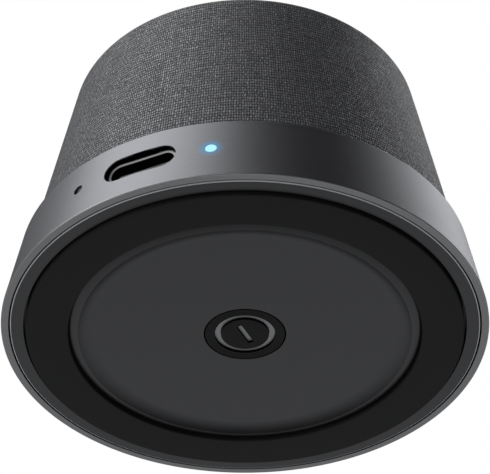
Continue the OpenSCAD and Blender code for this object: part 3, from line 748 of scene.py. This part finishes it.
def power_button():
    """Button cap with turned rings on its face and the icon's groove and bar cut into it."""
    face_z, groove_z = BUTTON_LO.z, ICON_HI.z
    flange_z = PANEL_HI.z + BUTTON_FLANGE_GAP
    back_z = flange_z + BUTTON_FLANGE_T
    ring_out, ring_in = ICON_HI.x + ICON_GAP, ICON_HI.x - ICON_RING - ICON_GAP
    turned_pitch, turned_half, turned_depth, turns = 0.25 * MM, 0.05 * MM, 0.02 * MM, 4
    face = []
    for k in range(1, turns + 1):
        r = ring_out + k * turned_pitch
        face += [(r - turned_half, face_z, 0), (r, face_z + turned_depth, 0), (r + turned_half, face_z, 0)]
    cap = lathe("button_cap", rounded([
        (0, face_z, 0), (ring_in, face_z, ICON_EDGE), (ring_in, groove_z, 0),
        (ring_out, groove_z, 0), (ring_out, face_z, ICON_EDGE), *face,
        (BUTTON_FACE_R, face_z, 0.1 * MM), (BUTTON_FACE_R, flange_z, 0), (BUTTON_HI.x, flange_z, 0),
        (BUTTON_HI.x, back_z, 0), (STEM_R, back_z, 0), (STEM_R, BUTTON_HI.z, 0), (0, BUTTON_HI.z, 0),
    ]), segments=192)
    bar = rounded_bar(ICON_W + 2 * ICON_GAP, ICON_L + 2 * ICON_GAP, BAR_CORNER)
    return smooth(cut(cap, [prism("cutter", bar, face_z - 1 * MM, groove_z)]))


def icon_inlay():
    """The icon's lighter ring and bar, at the bottom of the button's grooves."""
    low, high = ICON_LO.z, ICON_HI.z
    ring_out, ring_in = ICON_HI.x, ICON_HI.x - ICON_RING
    ring = lathe("icon_ring", rounded([
        (ring_in, low, ICON_EDGE), (ring_out, low, ICON_EDGE), (ring_out, high, 0), (ring_in, high, 0),
    ]), 192)
    return ring, smooth(prism("icon_bar", rounded_bar(ICON_W, ICON_L, BAR_CORNER), low, high))


def wedge(name, outline, start, end, steps=10):
    """A closed solid turned from one angle to another, in degrees, with flat ends."""
    angles = [math.radians(start + (end - start) * k / steps) for k in range(steps + 1)]
    obj = loft(name, [[Vector((r * math.cos(a), r * math.sin(a), z)) for r, z in outline] for a in angles])
    return smooth(obj, 40)


def spider_outline():
    """Section of the corrugated disc: its waves and a flat outer rim, from the CAD node's box."""
    low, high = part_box("spider")
    inner_r, flat_r = COIL_R + 0.04 * MM, high.x - SPIDER_RIM
    middle = (low.z + high.z - SPIDER_T) / 2
    swing = (high.z - low.z - SPIDER_T) / 2
    steps = 36
    radii = [inner_r + (high.x - inner_r) * i / steps for i in range(steps + 1)]

    def height(r):
        turn = SPIDER_WAVES * 2 * math.pi * (flat_r - r) / (flat_r - inner_r)
        return middle + (swing * math.sin(turn) if r < flat_r else 0)

    return [(r, height(r)) for r in radii] + [(r, height(r) + SPIDER_T) for r in reversed(radii)]


def surround_outline():
    """Section of the half-roll: a flat inner rim, the roll, and a flat outer rim."""
    low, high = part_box("surround")
    z, top = low.z, low.z + SURROUND_T
    inner_r = CONE_R + 0.05 * MM
    return [(inner_r, z), *arc(ROLL_MIDDLE_R, z, ROLL_R, 180, 0, 16), (high.x, z),
            (high.x, top), *arc(ROLL_MIDDLE_R, top, ROLL_R, 0, 180, 16), (inner_r, top)]


def flexing_ring(node, outline, material):
    """A ring made of equal sectors turned from its outline, with the material, in place of the CAD node.
    It is made of equal sectors, because a piece bends along one direction only.
    """
    step = 360 / SECTORS
    for k in range(SECTORS):
        middle = k * step
        piece = wedge(f"{node}_{k + 1:02d}", outline, middle - step / 2, middle + step / 2)
        piece.data.materials.append(material)
        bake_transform(piece)
        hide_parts(node)


# ---------------------------------------------------------------- putting it together


def dress(obj, material, body, slot, *nodes):
    """Gives a new piece its material and body, and hides the CAD nodes that it stands for. The slot is not
    used.
    """
    obj.data.materials.clear()
    obj.data.materials.append(material)
    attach(obj, body)
    if nodes:
        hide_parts(*nodes)


fabric = fabric_sleeve()
dress(fabric, fabric_material(), HOUSING, "fabric", "fabric_sleeve")
dress(base_band(), band_material(), HOUSING, "band_metal", "base_band")
dress(bottom_cover(), cover_material(), HOUSING, "cover_plastic", "bottom_cover")
dress(rubber_foot(), moulded("foot_rubber", grey(0.0098, 0.02), 0.7, Specular_IOR_Level=0.3),
      HOUSING, "rubber", "rubber_foot")
dress(centre_panel(), moulded("panel_plastic", grey(0.007, 0.2), 0.33),
      HOUSING, "panel_plastic", "centre_panel")
# The icon's grooves get painted shade above a height just over the button's face.
button_plastic = turned_material("button_plastic", grey(0.005), 0.5, 0.16 * MM, 0.004 * MM,
                                 painted_shade_above=BUTTON_LO.z + 0.05 * MM)
dress(power_button(), button_plastic, BUTTON, "button_plastic", "power_button")
icon_material = moulded("icon_inlay", grey(0.4, 0.03), 0.4)
icon_ring, icon_bar = icon_inlay()
dress(icon_ring, icon_material, BUTTON, "icon", "button_icon")
dress(icon_bar, icon_material, BUTTON, "icon")

CAD_LOOKS = {
    "inner_plastic": moulded("inner_plastic", grey(0.03), 0.5),
    "foam": moulded("foam", grey(0.02), 0.9, grain=0.3 * MM, depth=0.05 * MM),
    "rubber": moulded("boot_rubber", grey(0.012), 0.7),
    "black_plastic": moulded("black_plastic", grey(0.006), 0.35),
    "white_plastic": moulded("white_plastic", (0.75, 0.73, 0.68, 1), 0.45),
    "light_pipe": light_pipe_material(),
    "steel": moulded("plated_steel", grey(0.62), 0.32, metallic=1.0),
    "gold": moulded("gold_plate", (0.9, 0.68, 0.28, 1), 0.3, metallic=1.0),
    "mesh": mesh_material(),
    "circuit_board": moulded("solder_mask", (0.01, 0.09, 0.03, 1), 0.35),
    "ferrite": moulded("ferrite", grey(0.05), 0.6),
    "capacitor": moulded("capacitor", (0.45, 0.33, 0.2, 1), 0.5),
    "ceramic": moulded("ceramic", (0.55, 0.65, 0.75, 1), 0.4),
    "foil": moulded("cell_foil", grey(0.6), 0.35, metallic=1.0),
    "wire_red": moulded("red_wire", (0.5, 0.02, 0.02, 1), 0.5),
    "wire_black": moulded("black_wire", grey(0.02), 0.5),
    "basket_steel": moulded("basket_steel", grey(0.03), 0.4, metallic=0.5),
    "magnet": moulded("nickel", grey(0.6), 0.2, metallic=1.0),
    "kapton": moulded("kapton", (0.5, 0.25, 0.05, 1), 0.3),
    "copper": turned_material("copper_wire", (0.7, 0.3, 0.12, 1), 0.35, 0.2 * MM, 0.01 * MM, 1.0),
    "spider_cloth": moulded("spider_cloth", (0.5, 0.32, 0.08, 1), 0.8, grain=0.3 * MM),
    "paper": moulded("cone_paper", grey(0.03), 0.75, grain=0.4 * MM, depth=0.03 * MM),
    "phenolic": moulded("phenolic", (0.25, 0.13, 0.06, 1), 0.6),
    "screw_steel": moulded("zinc_plate", grey(0.4), 0.35, metallic=1.0),
}
SPECIAL_LOOKS = {"usb_shell": receptacle_material()}
SLOT_OF = {part["node"]: part["material_slot"] for part in frame["record"]["subparts"]}
FLEXING = {
    "spider": (spider_outline(), COIL_R, SPIDER_HELD_R),
    "surround": (surround_outline(), CONE_R, SURROUND_HELD_R),
}
for node_name, (outline, inner_r, outer_r) in FLEXING.items():
    slot_name = SLOT_OF[node_name]
    flexing_ring(node_name, outline, CAD_LOOKS[slot_name])
for node_name, node in NODES.items():
    if node.hide_render or node_name in FLEXING:
        continue
    node.data.materials.clear()
    node.data.materials.append(SPECIAL_LOOKS.get(node_name) or CAD_LOOKS[SLOT_OF[node_name]])

# ---------------------------------------------------------------- camera, lights and floor


def towards(azimuth, elevation):
    """Direction from the object, azimuth 0 in front (-Y) and growing towards +X, in degrees."""
    a, e = math.radians(azimuth), math.radians(elevation)
    return Vector((math.sin(a) * math.cos(e), -math.cos(a) * math.cos(e), math.sin(e)))


def place(name, data, location, direction):
    """Adds a camera or a lamp that looks in that direction."""
    obj = bpy.data.objects.new(name, data)
    bpy.context.scene.collection.objects.link(obj)
    obj.location = location
    obj.rotation_euler = direction.to_track_quat("-Z", "Y").to_euler()
    return obj


def add_camera():
    data = bpy.data.cameras.new("photo_camera")
    data.sensor_width, data.lens = CAMERA_SENSOR, CAMERA_LENS
    data.clip_start, data.clip_end = 0.01, 10
    location = towards(CAMERA_AZIMUTH, 0) * CAMERA_DISTANCE
    location.z = BAND_Z0 - CAMERA_DROP
    bpy.context.scene.camera = place(
        "photo_camera", data, location, -towards(CAMERA_AZIMUTH, -CAMERA_PITCH))


def softbox(name, turn, elevation, width, height, power):
    """A lamp at that angle round from the camera, turned to the object."""
    data = bpy.data.lights.new(name, "AREA")
    data.shape = "RECTANGLE"
    data.size, data.size_y = width, height
    data.energy = power
    data.color = LIGHT_TINT
    direction = towards(CAMERA_AZIMUTH + turn, elevation)
    place(name, data, direction * LIGHT_DISTANCE + LIGHT_TARGET, -direction)


def add_world():
    """White to the camera; what it lights with is dark, but for a broad glow low down behind."""
    world = bpy.data.worlds.new("studio")
    bpy.context.scene.world = world
    n = Nodes(world)
    direction = n.position("Generated")
    height = n.parts(direction)[2]
    facing = n.measure("DOT_PRODUCT", direction, towards(GLOW_AZIMUTH, GLOW_ELEVATION))
    glow = n.math("MULTIPLY", n.span(facing, 0, GLOW, 0.4, 1.0, "SMOOTHSTEP"),
                  n.span(height, 1, 0, -0.6, -0.05, "SMOOTHSTEP"))
    fill = n.span(height, FILL_BELOW, FILL_ABOVE, -0.2, 0.3, "SMOOTHSTEP")
    lights = n.add("ShaderNodeBackground", (*LIGHT_TINT, 1), n.math("ADD", glow, fill))
    seen = n.add("ShaderNodeBackground", (1, 1, 1, 1))
    to_camera = n.add("ShaderNodeLightPath").outputs["Is Camera Ray"]
    n.surface(to_camera, lights.outputs[0], seen.outputs[0])


def add_floor():
    """Pale floor under the foot. It shows from above only, and lights and shades nothing.

    It glows towards its far edge, where the lamps don't reach."""
    half, z = FLOOR_HALF, FOOT_LO.z - FLOOR_GAP
    corners = [(-half, -half, z), (half, -half, z), (half, half, z), (-half, half, z)]
    floor = new_object("floor", corners, [[0, 1, 2, 3]])
    n = new_material("floor")
    glow = n.span(n.measure("LENGTH", n.position()), 0, FLOOR_GLOW, FLOOR_NEAR, FLOOR_FAR, "SMOOTHSTEP")
    n.set(Base_Color=(0.8, 0.8, 0.8, 1), Roughness=0.7, Emission_Strength=1, Emission_Color=glow)
    from_below = n.add("ShaderNodeNewGeometry").outputs["Backfacing"]
    n.surface(from_below, n.shader.outputs[0], n.add("ShaderNodeBsdfTransparent").outputs[0])
    floor.data.materials.append(n.owner)
    floor.visible_diffuse = floor.visible_glossy = floor.visible_shadow = False


add_camera()
add_world()
add_floor()
softbox("key_left", -60, 54, 0.38, 0.4, 1.76)
softbox("side_left", -120, 45, 0.3, 0.3, 0.07)
softbox("low_left", -65, 2, 0.3, 0.3, 0.85)
softbox("rim_right", 122.5, 48, 0.25, 0.3, 0.72)
softbox("edge_front", 0, -42, 0.16, 0.16, 0.2)
bpy.context.scene.view_settings.view_transform = "Standard"
